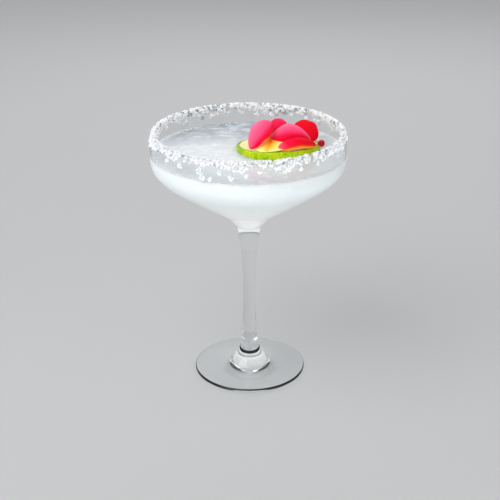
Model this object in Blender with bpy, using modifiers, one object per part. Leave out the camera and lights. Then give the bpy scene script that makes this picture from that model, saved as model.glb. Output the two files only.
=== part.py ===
"""A salted cocktail coupe with a cloudy drink, a floating lime slice and a pink blossom.

The glass stands on the floor at z = 0 with its turning axis on the z axis, and -y is the side
that faces the viewer. Every length is written in millimetres times MM, which makes it metres.
"""

import math
import random

import bmesh
import bpy
from mathutils import Matrix, Vector

MM = 0.001

# Glass
GLASS_HEIGHT = 147.0 * MM
RIM_RADIUS = 52.6 * MM
BOWL_RADIUS = 54.6 * MM
FOOT_RADIUS = 32.4 * MM
FOOT_EDGE_THICKNESS = 1.9 * MM
FOOT_RECESS_RADIUS = 26.5 * MM
FOOT_RECESS_DEPTH = 0.8 * MM
STEM_RADIUS = 3.5 * MM
RIM_WALL = 1.1 * MM
BASE_WALL = 2.3 * MM
WALL_FADE = 2.5
WELL_BOTTOM = 90.6 * MM
WELL_TOP = 98.0 * MM
GLASS_STEPS = 56
SPAN_STEPS = 6
CHORD_ERROR = 0.1 * MM

# Drink
FILL_HEIGHT = 135.3 * MM
CONTACT_GAP = 0.3 * MM

# The glass is two solids: the stem with the bowl, and the open band above the drink
BAND_BOTTOM = FILL_HEIGHT + CONTACT_GAP / 2
BOWL_TOP = FILL_HEIGHT - CONTACT_GAP / 2

# Lime slice, an oval that floats with its front edge raised and its left end a little low
LIME_TOP = (16.3 * MM, 4.7 * MM, 137.8 * MM)
LIME_RADIUS = 23.3 * MM
LIME_DEPTH_RATIO = 0.93
LIME_THICKNESS = 5.4 * MM
LIME_BULGE = 0.6 * MM
LIME_TILT = math.radians(6.0)
LIME_ROLL = math.radians(1.4)
LIME_STEPS = 36
LIME_SEGMENTS = 10
PITH_RADIUS = 0.93
FLESH_RADIUS = 0.86
CORE_RADIUS = 0.15
FLESH_RELIEF = 0.25 * MM

# Blossom
PETAL_THICKNESS = 0.5 * MM
PETAL_COLUMNS = 7
PETAL_ROWS = 9
PETAL_END = 0.06
BUD_PLACE = (42.0 * MM, 0.8 * MM, 139.95 * MM)
BUD_TURN = math.radians(-94.0)
BUD_STEPS = 12

# Salt
SALT_SEED = 11
GRAIN_COUNT = 112
GRAIN_LARGEST = 2.0 * MM
GRAIN_SMALLEST = 1.2 * MM
GRAIN_SINK = 0.1
TOP_SINK = 0.45
GRAIN_SIDES = ("top", "outer", "outer", "inner")
SALT_TOP = 0.8 * MM
SALT_BAND = 8.5 * MM
SALT_FADE = 1.7
GOLDEN_TURN = math.pi * (3.0 - math.sqrt(5.0))


def clear_scene():
    """Remove every object that the start-up file holds."""
    for item in list(bpy.data.objects):
        bpy.data.objects.remove(item, do_unlink=True)


def new_collection(name):
    """Add a collection to the scene."""
    collection = bpy.data.collections.new(name)
    bpy.context.scene.collection.children.link(collection)
    return collection


def new_material(name, colour, roughness, metallic=0.0, transmission=0.0):
    """Make a Principled material from plain values."""
    material = bpy.data.materials.new(name)
    material.use_nodes = True
    shader = material.node_tree.nodes["Principled BSDF"]
    shader.inputs["Base Color"].default_value = (*colour, 1.0)
    shader.inputs["Roughness"].default_value = roughness
    shader.inputs["Metallic"].default_value = metallic
    shader.inputs["Transmission Weight"].default_value = transmission
    material.diffuse_color = (*colour, 1.0)
    return material


def object_from_bmesh(shape, name, collection):
    """Turn a bmesh into a named object and free it."""
    mesh = bpy.data.meshes.new(name)
    shape.to_mesh(mesh)
    shape.free()
    item = bpy.data.objects.new(name, mesh)
    collection.objects.link(item)
    return item


def apply_modifiers(item):
    """Replace an object's mesh by the one that its modifiers make."""
    graph = bpy.context.evaluated_depsgraph_get()
    mesh = bpy.data.meshes.new_from_object(item.evaluated_get(graph))
    item.modifiers.clear()
    item.data = mesh


def dress(item, material):
    """Give a piece its material, and shade it smooth with its true corners sharp."""
    item.data.materials.append(material)
    item.data.shade_smooth()
    item.data.set_sharp_from_angle(angle=math.radians(35.0))


def smooth_line(keys, steps):
    """Points of a centripetal Catmull-Rom curve through the keys, with some steps to a span."""
    points = [Vector(key) for key in keys]
    ends = [2 * points[0] - points[1], *points, 2 * points[-1] - points[-2]]
    line = []
    for before, start, end, after in zip(ends, ends[1:], ends[2:], ends[3:]):
        t1 = math.sqrt((start - before).length)
        t2 = t1 + math.sqrt((end - start).length)
        t3 = t2 + math.sqrt((after - end).length)
        for step in range(steps):
            t = t1 + (t2 - t1) * step / steps
            first = before.lerp(start, t / t1)
            middle = start.lerp(end, (t - t1) / (t2 - t1))
            last = end.lerp(after, (t - t2) / (t3 - t2))
            near = first.lerp(middle, t / t2)
            far = middle.lerp(last, (t - t1) / (t3 - t1))
            line.append(near.lerp(far, (t - t1) / (t2 - t1)))
    line.append(points[-1])
    return line


def thinned(line, error=CHORD_ERROR):
    """The same line with fewer points: each chord stays within an error of what it replaces."""
    kept = [line[0]]
    start = 0
    for end in range(2, len(line)):
        chord = (line[end] - line[start]).normalized()
        gaps = [abs(chord.cross(point - line[start])) for point in line[start + 1 : end]]
        if max(gaps) > error:
            start = end - 1
            kept.append(line[start])
    kept.append(line[-1])
    return kept


def clipped(line, low, high):
    """The part of a line between two heights, with a new point where it passes one of them."""
    kept = []
    for first, second in zip(line, line[1:]):
        if low <= first.y <= high:
            kept.append(first)
        for height in (low, high):
            if min(first.y, second.y) < height < max(first.y, second.y):
                kept.append(first.lerp(second, (height - first.y) / (second.y - first.y)))
    if low <= line[-1].y <= high:
        kept.append(line[-1])
    return kept


def arc(centre, radius, start, end, steps):
    """Points of an arc in the (radius, height) plane, angles in radians."""
    turn = (end - start) / steps
    angles = [start + turn * step for step in range(steps + 1)]
    return [Vector(centre) + radius * Vector((math.cos(a), math.sin(a))) for a in angles]


def outer_wall():
    """The outside of the glass as (radius, height), from the foot's edge up to the rim."""
    foot_top = FOOT_EDGE_THICKNESS
    keys = [
        (FOOT_RADIUS - foot_top / 2, foot_top),
        (24.0 * MM, 2.1 * MM),
        (17.0 * MM, 2.9 * MM),
        (12.2 * MM, 4.2 * MM),
        (9.6 * MM, 7.0 * MM),
        (7.2 * MM, 11.0 * MM),
        (5.3 * MM, 15.2 * MM),
        (4.35 * MM, 20.5 * MM),
        (3.85 * MM, 27.0 * MM),
        (STEM_RADIUS, 42.0 * MM),
        (3.9 * MM, 63.0 * MM),
        (5.0 * MM, 79.0 * MM),
        (7.7 * MM, 91.0 * MM),
        (12.5 * MM, 97.0 * MM),
        (21.3 * MM, 103.0 * MM),
        (35.1 * MM, 112.0 * MM),
        (44.0 * MM, 118.1 * MM),
        (50.1 * MM, 123.0 * MM),
        (53.6 * MM, 127.8 * MM),
        (BOWL_RADIUS, 133.5 * MM),
        (54.1 * MM, 140.0 * MM),
        (RIM_RADIUS, GLASS_HEIGHT - RIM_WALL / 2),
    ]
    return smooth_line(keys, SPAN_STEPS)


def wall_thickness(height):
    """The bowl's wall, thin at the rim and thicker towards the stem."""
    share = (height - WELL_TOP) / (GLASS_HEIGHT - WELL_TOP)
    share = max(0.0, min(1.0, share))
    return RIM_WALL + (BASE_WALL - RIM_WALL) * (1.0 - share) ** WALL_FADE


def inner_wall(gap=0.0):
    """The bowl's inside from the rim down to the axis, moved in by a gap.

    Each point is the outer wall's, moved inwards along its normal by the wall there. The
    bottom of the well is a short curve down to the axis.
    """
    outer = outer_wall()
    line = []
    for before, point, after in zip(outer, outer[1:], outer[2:] + [outer[-1]]):
        along = (after - before).normalized()
        inward = Vector((-along.y, along.x))
        moved = point + inward * (wall_thickness(point.y) + gap)
        if min(moved.y, point.y) > WELL_TOP:
            line.append(moved)
    line.reverse()
    last = line[-1]
    drop = last.y - WELL_BOTTOM
    well = [
        (last.x, last.y),
        (last.x * 0.52, WELL_BOTTOM + drop * 0.42 + gap / 2),
        (last.x * 0.2, WELL_BOTTOM + drop * 0.08 + gap),
        (0.0, WELL_BOTTOM + gap),
    ]
    return line[:-1] + smooth_line(well, SPAN_STEPS)


def turned(name, profile, steps, collection, ring=False):
    """A solid of revolution about the z axis from a profile that runs down its outer side.

    The profile starts and ends on the axis, or is a closed loop clear of it if `ring` is set.
    """
    shape = bmesh.new()
    corners = [shape.verts.new((point[0], 0.0, point[1])) for point in profile]
    for first, second in zip(corners, corners[1:]):
        shape.edges.new((first, second))
    if ring:
        shape.edges.new((corners[-1], corners[0]))
    item = object_from_bmesh(shape, name, collection)
    screw = item.modifiers.new("turn", "SCREW")
    screw.axis = "Z"
    screw.steps = steps
    screw.render_steps = steps
    screw.use_merge_vertices = True
    screw.merge_threshold = 0.000002
    return item


def make_glass(collection):
    """The glass up to the drink's level: a hollow-ground foot, a drawn stem and a wide bowl."""
    half = FOOT_EDGE_THICKNESS / 2
    underside = [
        Vector((0.0, FOOT_RECESS_DEPTH)),
        Vector((FOOT_RECESS_RADIUS * 0.6, FOOT_RECESS_DEPTH * 0.7)),
        Vector((FOOT_RECESS_RADIUS, 0.0)),
    ]
    foot_edge = arc((FOOT_RADIUS - half, half), half, -math.pi / 2, math.pi / 2, 4)
    outside = thinned(clipped(outer_wall(), 0.0, BOWL_TOP))
    inside = thinned(clipped(inner_wall(), 0.0, BOWL_TOP))
    profile = underside + foot_edge + outside[1:] + inside
    return turned("glass", profile[::-1], GLASS_STEPS, collection)


def make_rim(collection):
    """The thin band of the bowl above the drink, from the drink's level up over the lip."""
    lip_radius = RIM_WALL / 2
    lip_centre = (RIM_RADIUS - lip_radius, GLASS_HEIGHT - lip_radius)
    lip = arc(lip_centre, lip_radius, 0.0, math.pi, 4)
    outside = thinned(clipped(outer_wall(), BAND_BOTTOM, GLASS_HEIGHT))
    inside = thinned(clipped(inner_wall(), BAND_BOTTOM, GLASS_HEIGHT))
    profile = outside[:-1] + lip + inside[1:]
    return turned("glass_rim", profile[::-1], GLASS_STEPS, collection, ring=True)


def lime_outline(spread):
    """The slice's half section, grown by a spread: top face, bulging rind, lower face."""
    half = LIME_THICKNESS / 2 + spread
    flat = LIME_RADIUS - LIME_BULGE + spread
    faces = [flat * share for share in (0.0, 0.3, FLESH_RADIUS * 0.8, FLESH_RADIUS, PITH_RADIUS)]
    middle = -LIME_THICKNESS / 2
    top = [Vector((radius, middle + half)) for radius in faces]
    under = [Vector((radius, middle - half)) for radius in reversed(faces)]
    rind = []
    for degrees in (90, 55, 20, -20, -55, -90):
        angle = math.radians(degrees)
        rind.append(Vector((flat + LIME_BULGE * math.cos(angle), middle + half * math.sin(angle))))
    return top + rind + under


def sink_flesh(item):
    """Sink the flesh below the pith in both faces, deepest in the middle of each segment."""
    apply_modifiers(item)
    top = LIME_THICKNESS * 0.01
    for vertex in item.data.vertices:
        place = vertex.co
        share = math.hypot(place.x, place.y) / (LIME_RADIUS - LIME_BULGE)
        across = abs(math.sin(math.atan2(place.y, place.x) * LIME_SEGMENTS / 2))
        depth = FLESH_RELIEF * min(1.0, across * 1.6)
        if not CORE_RADIUS < share < FLESH_RADIUS * 0.95:
            continue
        if place.z > -top:
            place.z -= depth
        elif place.z < top - LIME_THICKNESS:
            place.z += depth


def make_lime(name, spread, collection):
    """The lime slice, or the slightly larger shape that cuts its place in the drink."""
    item = turned(name, lime_outline(spread), LIME_STEPS, collection)
    item.location = LIME_TOP
    item.rotation_euler = (-LIME_TILT, -LIME_ROLL, 0.0)
    item.scale = (1.0, LIME_DEPTH_RATIO, 1.0)
    return item


def make_drink(collection, cutters):
    """The drink, up to its level and a hair inside the bowl, cut away round the lime slice."""
    inside = thinned(inner_wall(CONTACT_GAP))
    wall = [point for point in inside if point.y < FILL_HEIGHT - 0.4 * MM]
    edge = Vector((wall[0].x, FILL_HEIGHT))
    surface = [Vector((0.0, FILL_HEIGHT)), Vector((edge.x * 0.6, FILL_HEIGHT)), edge]
    drink = turned("drink", surface + wall, GLASS_STEPS, collection)
    cutter = make_lime("lime_clearance", CONTACT_GAP, cutters)
    cutter.hide_render = True
    cutter.display_type = "WIRE"
    cut = drink.modifiers.new("lime_place", "BOOLEAN")
    cut.operation = "DIFFERENCE"
    cut.object = cutter
    return drink


class Petal:
    """One petal: a narrow base, a round end, and a face that domes towards `facing`."""

    def __init__(self, name, base, tip, facing, width, cup, bend, claw, wave, phase):
        self.name = name
        self.base = Vector(base) * MM
        self.tip = Vector(tip) * MM
        self.facing = Vector(facing)
        self.width = width * MM
        self.cup = cup * MM
        self.bend = bend * MM
        self.claw = claw
        self.wave = wave * MM
        self.phase = phase

    def place(self, across, along):
        """The point at across, -1 to 1, and along, 0 at the base and 1 at the tip.

        The width follows a half turn of a sine, narrowed near the base by `claw`. The face is
        lifted by a dome across it, a bow along it, and a ripple that grows towards its edges.
        """
        axis = self.tip - self.base
        side = axis.cross(self.facing).normalized()
        out = side.cross(axis).normalized()
        turn = math.pi * (PETAL_END + (1.0 - 2.0 * PETAL_END) * along)
        reach = 0.5 - 0.5 * math.cos(turn)
        narrow = self.claw + (1.0 - self.claw) * min(1.0, reach * 1.7)
        half_width = self.width / 2 * math.sin(turn) ** 0.8 * narrow
        dome = self.cup * (1.0 - across**2) * math.sin(turn)
        bow = self.bend * math.sin(math.pi * reach)
        ripple = self.wave * across**2 * math.sin(5.0 * reach * math.pi + self.phase + across)
        return self.base + axis * reach + side * half_width * across + out * (dome + bow + ripple)


BLOSSOM = [
    Petal("petal_left", (1.9, -4.8, 139.7), (12.8, 0.8, 151.3), (-0.35, -0.8, 0.5),
          width=12.5, cup=3.4, bend=1.9, claw=0.94, wave=0.2, phase=0.4),
    Petal("petal_back", (16.0, 5.4, 139.1), (17.2, 10.4, 150.7), (0.0, -1.0, 0.35),
          width=10.8, cup=2.2, bend=1.1, claw=0.55, wave=0.3, phase=1.1),
    Petal("petal_middle", (35.4, 1.0, 140.8), (13.4, -0.6, 144.0), (0.1, -0.7, 0.75),
          width=13.4, cup=3.4, bend=2.6, claw=0.62, wave=0.2, phase=2.0),
    Petal("petal_front", (36.4, -6.1, 141.3), (15.0, -9.3, 142.1), (0.0, -0.8, 0.75),
          width=7.6, cup=0.5, bend=1.7, claw=0.6, wave=0.2, phase=0.2),
    Petal("petal_right", (34.4, 5.6, 139.5), (29.5, 9.4, 150.6), (0.15, -1.0, 0.35),
          width=13.6, cup=2.1, bend=1.0, claw=0.69, wave=0.25, phase=2.6),
    Petal("petal_throat", (14.9, -9.2, 140.77), (6.8, -10.5, 140.27), (0.0, -0.25, 1.0),
          width=5.3, cup=0.3, bend=0.2, claw=1.0, wave=0.1, phase=0.9),
]


def make_petal(petal, collection):
    """A thin wavy shell: a triangulated grid laid on the petal's surface, then thickened."""
    shape = bmesh.new()
    bmesh.ops.create_grid(shape, x_segments=PETAL_COLUMNS - 1, y_segments=PETAL_ROWS - 1, size=1.0)
    for vertex in shape.verts:
        vertex.co = petal.place(vertex.co.x, (vertex.co.y + 1.0) / 2)
    bmesh.ops.triangulate(shape, faces=shape.faces)
    item = object_from_bmesh(shape, petal.name, collection)
    wall = item.modifiers.new("thickness", "SOLIDIFY")
    wall.thickness = PETAL_THICKNESS
    wall.offset = 0.0
    wall.use_even_offset = True
    return item


def make_bud(collection):
    """The blossom's small round bud at the slice's right end, with a bead on its neck."""
    outline = [
        (0.0, 4.7 * MM),
        (0.45 * MM, 4.5 * MM),
        (0.6 * MM, 4.1 * MM),
        (0.4 * MM, 3.6 * MM),
        (0.7 * MM, 3.2 * MM),
        (1.35 * MM, 2.5 * MM),
        (1.65 * MM, 1.6 * MM),
        (1.4 * MM, 0.7 * MM),
        (0.75 * MM, 0.12 * MM),
        (0.0, 0.0),
    ]
    item = turned("bud", outline, BUD_STEPS, collection)
    item.location = BUD_PLACE
    item.rotation_euler = (0.0, BUD_TURN, 0.0)
    return item


class Grain:
    """One salt crystal: where it sits on the rim, its size and how it is turned."""

    def __init__(self, draw, index):
        share = (index / GRAIN_COUNT) ** 0.6
        self.size = GRAIN_LARGEST + (GRAIN_SMALLEST - GRAIN_LARGEST) * share
        self.angle = index * GOLDEN_TURN
        self.side = draw.choice(GRAIN_SIDES)
        self.drop = SALT_BAND * draw.random() ** SALT_FADE
        self.scale = [draw.uniform(0.7, 1.1) for _ in range(3)]
        self.turn = [draw.uniform(0.0, math.pi) for _ in range(2)]

    def section_place(self, outer, inner):
        """Its centre as (radius, height), sunk a little into the wall that it sticks to."""
        sink = self.size * GRAIN_SINK
        if self.side == "top":
            return Vector((RIM_RADIUS - RIM_WALL / 2, GLASS_HEIGHT - self.size * TOP_SINK))
        height = GLASS_HEIGHT - SALT_TOP - self.drop
        if self.side == "outer":
            spot = wall_point(outer, height)
            return Vector((spot.x - sink, spot.y))
        spot = wall_point(inner, GLASS_HEIGHT - SALT_TOP - self.drop * 0.75)
        return Vector((spot.x + sink, spot.y))

    def matrix(self, outer, inner):
        """Its place round the rim, its turn and its uneven size."""
        spot = self.section_place(outer, inner)
        place = (spot.x * math.cos(self.angle), spot.x * math.sin(self.angle), spot.y)
        turn = Matrix.Rotation(self.turn[0], 4, "X") @ Matrix.Rotation(self.turn[1], 4, "Y")
        return Matrix.Translation(place) @ turn @ Matrix.Diagonal((*self.scale, 1.0))


def wall_point(line, height):
    """The (radius, height) where a wall's line passes a height."""
    for first, second in zip(line, line[1:]):
        low, high = sorted((first.y, second.y))
        if low <= height <= high and high > low:
            return first.lerp(second, (height - first.y) / (second.y - first.y))
    return line[-1]


def make_salt(rim):
    """Fuse the larger salt crystals to the rim, the largest first, evenly all round."""
    draw = random.Random(SALT_SEED)
    crystals = new_collection("salt_crystals")
    outer = [point for point in outer_wall() if point.y > FILL_HEIGHT]
    inner = [point for point in inner_wall() if point.y > FILL_HEIGHT]
    for index in range(GRAIN_COUNT):
        grain = Grain(draw, index)
        shape = bmesh.new()
        bmesh.ops.create_cube(shape, size=grain.size)
        bmesh.ops.transform(shape, matrix=grain.matrix(outer, inner), verts=shape.verts)
        object_from_bmesh(shape, f"crystal_{index}", crystals)
    join = rim.modifiers.new("salt", "BOOLEAN")
    join.operation = "UNION"
    join.operand_type = "COLLECTION"
    join.collection = crystals
    apply_modifiers(rim)
    for crystal in list(crystals.objects):
        bpy.data.objects.remove(crystal, do_unlink=True)
    bpy.data.collections.remove(crystals)


def keep_largest_shell(item):
    """Keep an object's largest connected surface, so sealed hollows and loose scraps go."""
    shape = bmesh.new()
    shape.from_mesh(item.data)
    waiting = set(shape.verts)
    largest = set()
    while waiting:
        reached = [waiting.pop()]
        shell = set(reached)
        while reached:
            vertex = reached.pop()
            fresh = {edge.other_vert(vertex) for edge in vertex.link_edges} & waiting
            waiting -= fresh
            shell |= fresh
            reached.extend(fresh)
        largest = max(largest, shell, key=len)
    scraps = [vertex for vertex in shape.verts if vertex not in largest]
    bmesh.ops.delete(shape, geom=scraps, context="VERTS")
    shape.to_mesh(item.data)
    shape.free()


def main():
    """Build every piece into one collection, each with its material."""
    clear_scene()
    cocktail = new_collection("cocktail")
    cutters = new_collection("cutters")
    clear_glass = new_material("clear_glass", (0.93, 0.96, 0.96), 0.03, transmission=1.0)
    cloudy_drink = new_material("cloudy_drink", (0.88, 0.92, 0.92), 0.12)
    lime_green = new_material("lime_green", (0.45, 0.62, 0.03), 0.35)
    petal_pink = new_material("petal_pink", (0.85, 0.03, 0.11), 0.45)
    throat_orange = new_material("throat_orange", (0.95, 0.5, 0.08), 0.45)
    bud_red = new_material("bud_red", (0.35, 0.01, 0.02), 0.35)

    dress(make_glass(cocktail), clear_glass)
    rim = make_rim(cocktail)
    apply_modifiers(rim)
    make_salt(rim)
    keep_largest_shell(rim)
    dress(rim, clear_glass)

    dress(make_drink(cocktail, cutters), cloudy_drink)

    lime = make_lime("lime_slice", 0.0, cocktail)
    sink_flesh(lime)
    dress(lime, lime_green)

    for petal in BLOSSOM:
        dress(make_petal(petal, cocktail), throat_orange if "throat" in petal.name else petal_pink)
    dress(make_bud(cocktail), bud_red)


main()
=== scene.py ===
"""Dresses the margarita: clear coupe, cloudy drink, salted rim, lime slice and pink blossom.

Everything is in metres in the glass's own frame: the foot stands on z = 0, the turning axis is
the z axis, and -y faces the viewer.
"""

import logging
import math
from dataclasses import dataclass, field
from typing import Any, Optional, Union

import bmesh
import bpy
import numpy as np
from mathutils import Matrix, Vector


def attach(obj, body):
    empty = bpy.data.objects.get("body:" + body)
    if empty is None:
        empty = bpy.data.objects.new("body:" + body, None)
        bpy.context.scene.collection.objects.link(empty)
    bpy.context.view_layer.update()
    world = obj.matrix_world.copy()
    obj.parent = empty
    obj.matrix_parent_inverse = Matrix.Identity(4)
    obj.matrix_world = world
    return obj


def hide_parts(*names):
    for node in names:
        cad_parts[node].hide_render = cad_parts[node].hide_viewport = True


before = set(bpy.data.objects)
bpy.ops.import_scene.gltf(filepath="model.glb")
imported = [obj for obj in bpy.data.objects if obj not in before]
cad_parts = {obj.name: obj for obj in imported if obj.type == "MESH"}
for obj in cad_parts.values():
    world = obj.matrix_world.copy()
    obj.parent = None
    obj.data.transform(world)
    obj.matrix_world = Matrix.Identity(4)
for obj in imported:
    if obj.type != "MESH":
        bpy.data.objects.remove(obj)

MM = 0.001
LOG = logging.getLogger("margarita")
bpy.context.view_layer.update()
Colour = tuple[float, float, float]
Place = tuple[float, float, float]
Stops = tuple[tuple[float, Colour], ...]
MERGE_DISTANCE = 0.000001
SLIVER_LENGTH = 0.0000005


# ---------------------------------------------------------------- shader graph


class Value:
    """A shader socket on which Python's operators add Math nodes."""

    def __init__(self, graph: "Graph", socket: bpy.types.NodeSocket) -> None:
        """Keep the socket and the graph that it belongs to."""
        self.graph = graph
        self.socket = socket

    def __add__(self, other: "Number") -> "Value":
        """The sum."""
        return self.graph.math("ADD", self, other)

    def __radd__(self, other: "Number") -> "Value":
        """The sum, with the value on the right."""
        return self.graph.math("ADD", other, self)

    def __sub__(self, other: "Number") -> "Value":
        """The difference."""
        return self.graph.math("SUBTRACT", self, other)

    def __rsub__(self, other: "Number") -> "Value":
        """The difference, with the value on the right."""
        return self.graph.math("SUBTRACT", other, self)

    def __mul__(self, other: "Number") -> "Value":
        """The product."""
        return self.graph.math("MULTIPLY", self, other)

    def __rmul__(self, other: "Number") -> "Value":
        """The product, with the value on the right."""
        return self.graph.math("MULTIPLY", other, self)


Number = Union[Value, float]


class Graph:
    """The node tree of one material, or of the world."""

    def __init__(self, name: str = "", tree: Optional[bpy.types.NodeTree] = None) -> None:
        """Start an empty tree.

        Args:
            name: a new material's name.
            tree: the tree to use in place of a new material's.
        """
        self.material = None if tree else bpy.data.materials.new(name)
        if self.material:
            self.material.use_nodes = True
        self.tree = tree or self.material.node_tree
        self.tree.nodes.clear()

    def node(
        self,
        kind: str,
        settings: Optional[dict[str, Any]] = None,
        inputs: Optional[dict[Union[str, int], Any]] = None,
        output: Union[str, int, None] = 0,
    ) -> Optional[Value]:
        """Add a node, set it up, then fill its sockets.

        Args:
            kind: the node's type.
            settings: its properties; "stops" fills a colour ramp with (place, colour) pairs.
            inputs: plain values or links, by socket name or number.
            output: the socket that is handed back, or None on a node that has none.

        Returns:
            The chosen output.
        """
        made = self.tree.nodes.new(kind)
        for key, value in (settings or {}).items():
            if key == "stops":
                self.fill_ramp(made.color_ramp, value)
            else:
                setattr(made, key, value)
        for key, value in (inputs or {}).items():
            if isinstance(value, Value):
                self.tree.links.new(value.socket, made.inputs[key])
            else:
                made.inputs[key].default_value = value
        return None if output is None else Value(self, made.outputs[output])

    @staticmethod
    def fill_ramp(ramp: bpy.types.ColorRamp, stops: Stops) -> None:
        """Give a colour ramp its stops.

        Args:
            ramp: the ramp, which starts with two elements.
            stops: place and linear colour of each stop, in order.
        """
        while len(ramp.elements) < len(stops):
            ramp.elements.new(0.5)
        for element, (place, colour) in zip(ramp.elements, stops):
            element.position = place
            element.color = (*colour, 1.0)

    def math(self, operation: str, first: Number, second: Number = 0.0) -> Value:
        """One Math node.

        Args:
            operation: its operation.
            first: the first value.
            second: the second value, where the operation has one.

        Returns:
            The result.
        """
        return self.node("ShaderNodeMath", {"operation": operation}, {0: first, 1: second})

    def attribute(self, name: str) -> Value:
        """A number stored on the mesh's points."""
        return self.node("ShaderNodeAttribute", {"attribute_name": name}, output="Fac")

    def place(self) -> Value:
        """The point's place in metres, in the glass's frame."""
        return self.node("ShaderNodeTexCoord", output="Object")

    def stretch(self, vector: Value, scale: Place) -> Value:
        """A vector with each of its parts scaled."""
        settings = {"operation": "MULTIPLY"}
        return self.node("ShaderNodeVectorMath", settings, {0: vector, 1: scale})

    def part(self, vector: Value, axis: str) -> Value:
        """One part, X, Y or Z, of a vector."""
        return self.node("ShaderNodeSeparateXYZ", inputs={0: vector}, output=axis)

    def noise(self, vector: Value, scale: float, detail: float = 3.0, rough: float = 0.5) -> Value:
        """Smooth noise, about 0.5 on average.

        Args:
            vector: where it is read.
            scale: cells to a unit.
            detail: octaves.
            rough: how strong the finer octaves are.

        Returns:
            The noise's value.
        """
        inputs = {"Vector": vector, "Scale": scale, "Detail": detail, "Roughness": rough}
        return self.node("ShaderNodeTexNoise", inputs=inputs, output="Fac")

    def cells(self, vector: Value, scale: float) -> Value:
        """Distance to the nearest point of a cell pattern, with so many cells to a unit."""
        inputs = {"Vector": vector, "Scale": scale}
        return self.node("ShaderNodeTexVoronoi", inputs=inputs, output="Distance")

    def rise(self, value: Value, low: float, high: float) -> Value:
        """A smooth step from 0 at low to 1 at high.

        Args:
            value: what is mapped.
            low: where it is 0.
            high: where it is 1; below low turns the step round.

        Returns:
            The step.
        """
        inputs = {"Value": value, "From Min": low, "From Max": high}
        return self.node("ShaderNodeMapRange", {"interpolation_type": "SMOOTHSTEP"}, inputs)

    def ramp(self, value: Value, stops: Stops) -> Value:
        """A colour that runs through some stops as a value goes from 0 to 1."""
        return self.node("ShaderNodeValToRGB", {"stops": stops}, {0: value}, "Color")

    def blend(self, mask: Number, first: Any, second: Any) -> Value:
        """One colour laid over another by a mask.

        Args:
            mask: 0 shows the first, 1 the second.
            first: a colour or a link.
            second: a colour or a link.

        Returns:
            The colour.
        """
        below, above = ((*c, 1.0) if isinstance(c, tuple) else c for c in (first, second))
        return self.node("ShaderNodeMix", {"data_type": "RGBA"}, {0: mask, 6: below, 7: above}, 2)

    def bump(self, height: Value, distance: float, strength: float = 1.0) -> Value:
        """A normal that follows a height pattern.

        Args:
            height: the pattern.
            distance: metres that a height of 1 stands out.
            strength: how much of it is used.

        Returns:
            The normal.
        """
        inputs = {"Strength": strength, "Distance": distance, "Height": height}
        return self.node("ShaderNodeBump", inputs=inputs)

    def principled(self, **inputs: Any) -> Value:
        """A Principled shader; an underscore in a socket's name stands for a space."""
        named = {key.replace("_", " "): value for key, value in inputs.items()}
        for key, value in named.items():
            if isinstance(value, tuple) and key != "Subsurface Radius":
                named[key] = (*value, 1.0)
        return self.node("ShaderNodeBsdfPrincipled", inputs=named)

    def done(self, shader: Value) -> bpy.types.Material:
        """Send a shader to the output.

        Args:
            shader: the surface.

        Returns:
            The material.
        """
        self.node("ShaderNodeOutputMaterial", inputs={"Surface": shader}, output=None)
        return self.material

    def coated(self, **inputs: Any) -> bpy.types.Material:
        """The material, with one Principled shader as its surface."""
        return self.done(self.principled(**inputs))


# ---------------------------------------------------------------- meshes from grids


def smooth_curve(keys: np.ndarray, steps: int) -> np.ndarray:
    """A smooth curve: each span blends the straight lines through its four nearest keys.

    The keys' marks are spaced by the root of the distance between them, so that the curve
    doesn't loop where keys lie close together.

    Args:
        keys: points that the curve passes, one a row.
        steps: points to a span.

    Returns:
        The curve's points, one a row.
    """
    ends = np.vstack([2 * keys[0] - keys[1], keys, 2 * keys[-1] - keys[-2]])
    p0, p1, p2, p3 = ends[:-3, None], ends[1:-2, None], ends[2:-1, None], ends[3:, None]
    t1 = np.sqrt(np.linalg.norm(p1 - p0, axis=2, keepdims=True))
    t2 = t1 + np.sqrt(np.linalg.norm(p2 - p1, axis=2, keepdims=True))
    t3 = t2 + np.sqrt(np.linalg.norm(p3 - p2, axis=2, keepdims=True))
    t = t1 + (t2 - t1) * (np.arange(steps) / steps)[None, :, None]
    a1 = p0 + (p1 - p0) * t / t1
    a2 = p1 + (p2 - p1) * (t - t1) / (t2 - t1)
    a3 = p2 + (p3 - p2) * (t - t2) / (t3 - t2)
    b1 = a1 + (a2 - a1) * t / t2
    b2 = a2 + (a3 - a2) * (t - t1) / (t3 - t1)
    curve = b1 + (b2 - b1) * (t - t1) / (t2 - t1)
    return np.vstack([curve.reshape(-1, keys.shape[1]), keys[-1]])


def unit(vectors: np.ndarray) -> np.ndarray:
    """Vectors brought to length 1, one a row or one a cell."""
    return vectors / np.linalg.norm(vectors, axis=-1, keepdims=True)


def left_of(line: np.ndarray) -> np.ndarray:
    """Unit normals of a line in a plane, a quarter turn to the left of the way it runs."""
    along = unit(np.gradient(line, axis=0))
    return np.stack([-along[:, 1], along[:, 0]], axis=1)


def read_line(line: np.ndarray, marks: np.ndarray, at: np.ndarray) -> np.ndarray:
    """A line in a plane, read at some distances by straight steps between its points.

    Args:
        line: its points, one a row.
        marks: the distance of each point, rising.
        at: the distances to read.

    Returns:
        One point a row.
    """
    return np.stack([np.interp(at, marks, line[:, i]) for i in range(2)], axis=1)


def placed(points: np.ndarray, matrix: Matrix) -> np.ndarray:
    """Points turned, scaled and moved by a 4 by 4 matrix."""
    full = np.array(matrix)
    return points @ full[:3, :3].T + full[:3, 3]


def round_axis(radius: np.ndarray, angle: np.ndarray, height: np.ndarray) -> np.ndarray:
    """Points about the z axis: x = r cos a, y = r sin a, z = h.

    Args:
        radius: distance from the axis.
        angle: direction from the axis.
        height: height.

    Returns:
        The points, with x, y and z last.
    """
    x, y = radius * np.cos(angle), radius * np.sin(angle)
    return np.stack([x, y, np.broadcast_to(height, x.shape)], axis=-1)


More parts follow.
